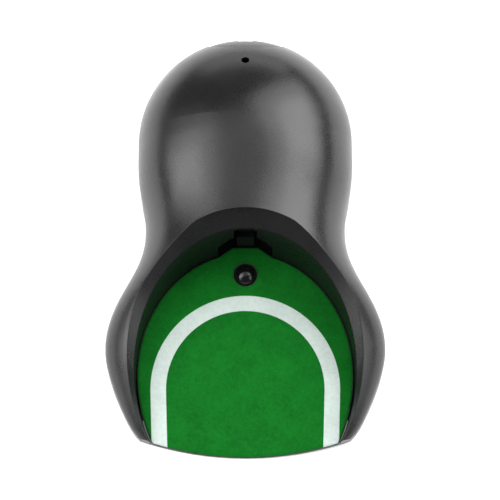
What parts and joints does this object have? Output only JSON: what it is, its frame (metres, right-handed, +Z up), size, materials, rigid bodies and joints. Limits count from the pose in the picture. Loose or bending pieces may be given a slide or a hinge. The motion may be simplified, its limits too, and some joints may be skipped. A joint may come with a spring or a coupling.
{
  "type": "automatic putting cup",
  "caption": "Keyhole-shaped hood over a green felt ramp with a white cup line, a domed trigger button and a swinging kicker that sends a golf ball back.",
  "frame": {"origin": "middle of the footprint, on the surface that it stands on", "axes": "+Z up, +Y from the ramp's front lip towards the domed rear, +X to the right when facing the dome from the ramp"},
  "size_m": [0.1732, 0.264, 0.088],
  "materials": {
    "hood_black": "satin, fine grain",
    "base_black": "satin",
    "deck_black": "satin",
    "door_black": "satin",
    "felt_green": "short dense felt",
    "felt_white": "printed felt",
    "button_black": "polished",
    "kicker_grey": "satin",
    "cap_grey": "smooth gloss",
    "switch_black": "gloss",
    "rocker_black": "gloss",
    "rubber_black": "matte",
    "frame_white": "moulded",
    "gear_white": "moulded",
    "brass": "turned",
    "steel": "bright",
    "spring_steel": "drawn wire",
    "motor_steel": "plated",
    "board_green": "lacquered board",
    "part_black": "moulded",
    "cell_grey": "plain sleeve"
  },
  "bodies": {
    "housing": {"top_shell": "hood_black", "rear_cap": "cap_grey", "switch_body": "switch_black", "base_plate": "base_black", "rubber_feet": "rubber_black", "ramp_deck": "deck_black", "felt_mat": "felt_green", "aiming_line": "felt_white", "button_spring": "spring_steel", "trigger_board": "board_green", "trigger_switch": "part_black", "kicker_pin": "steel", "kicker_spring": "spring_steel", "cam_pin": "steel", "gear_pin": "steel", "gear_frame": "frame_white", "motor": "motor_steel", "motor_screws": "steel", "batteries": "cell_grey", "battery_contacts": "spring_steel", "control_board": "board_green", "board_parts": "part_black", "case_screws": "steel"},
    "button": {"trigger_button": "button_black"},
    "rocker": {"power_rocker": "rocker_black"},
    "door": {"battery_door": "door_black"},
    "kicker": {"kicker": "kicker_grey"},
    "cam": {"cam_gear": "gear_white"},
    "reduction": {"reduction_gear": "gear_white"},
    "rotor": {"motor_pinion": "brass", "motor_shaft": "steel"}
  },
  "joints": [
    {"name": "button_press", "type": "slide", "parent": "housing", "child": "button", "axis": [0, 0, -1], "range_m": [0, 0.0022], "stiffness_N_per_m": 150, "springref_m": -0.001, "deforming": ["button_spring"]},
    {"name": "power_switch", "type": "hinge", "parent": "housing", "child": "rocker", "pos_m": [0, 0.12362, 0.05199], "axis": [-1, 0, 0], "range_deg": [0, 16]},
    {"name": "door_slide", "type": "slide", "parent": "housing", "child": "door", "axis": [0, 1, 0], "range_m": [0, 0.06]},
    {"name": "cam_turn", "type": "hinge", "parent": "housing", "child": "cam", "pos_m": [0, 0.04654, 0.04743], "axis": [-1, 0, 0], "range_deg": [0, 90]},
    {"name": "kicker_swing", "type": "hinge", "parent": "housing", "child": "kicker", "pos_m": [0, 0.015, 0.062], "axis": [-1, 0, 0], "range_deg": [0, 18], "stiffness_Nm_per_rad": 0.05, "deforming": ["kicker_spring"]},
    {"name": "reduction_turn", "type": "hinge", "parent": "housing", "child": "reduction", "pos_m": [0, 0.06754, 0.04743], "axis": [1, 0, 0], "range_deg": [0, 225]},
    {"name": "motor_turn", "type": "hinge", "parent": "housing", "child": "rotor", "pos_m": [0, 0.08434, 0.03483], "axis": [-1, 0, 0], "range_deg": [0, 562.5]}
  ],
  "couplings": [
    {"joint": "kicker_swing", "follows": "cam_turn", "ratio": 0.2},
    {"joint": "reduction_turn", "follows": "cam_turn", "ratio": 2.5},
    {"joint": "motor_turn", "follows": "cam_turn", "ratio": 6.25}
  ]
}
